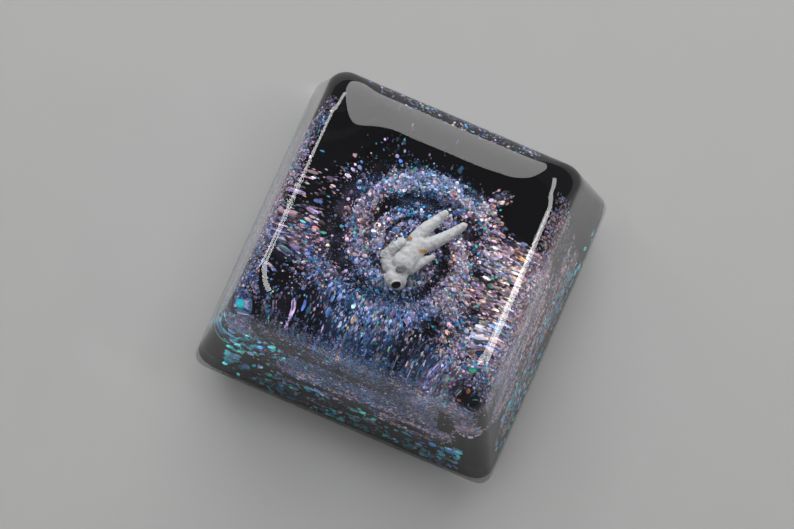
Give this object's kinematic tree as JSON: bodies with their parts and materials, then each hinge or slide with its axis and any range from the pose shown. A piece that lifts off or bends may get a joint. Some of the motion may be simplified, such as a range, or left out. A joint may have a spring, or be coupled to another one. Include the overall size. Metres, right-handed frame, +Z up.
{
  "type": "artisan keycap",
  "caption": "Tall clear resin keycap with a dished top, cast round a black core, a glitter spiral and a floating astronaut figure, with a cross-slot stem underneath.",
  "frame": {"origin": "middle of the skirt's underside, on the surface that the cap stands on", "axes": "+Z up out of the dish, along the stem's axis; -Y towards the typist, the front of the cap; +X to the right"},
  "size_m": [0.0184, 0.0184, 0.0121],
  "materials": {
    "clear_resin": "polished clear casting resin",
    "black_resin": "black casting resin with sparse glitter",
    "glitter": "holographic glitter in resin, pink, lavender and blue",
    "figure_paint": "white paint with a black visor and gold marks"
  },
  "bodies": {
    "root": {"clear_resin_cap": "clear_resin", "black_resin_core": "black_resin", "glitter_swirl": "glitter", "astronaut_figure": "figure_paint"}
  },
  "joints": []
}
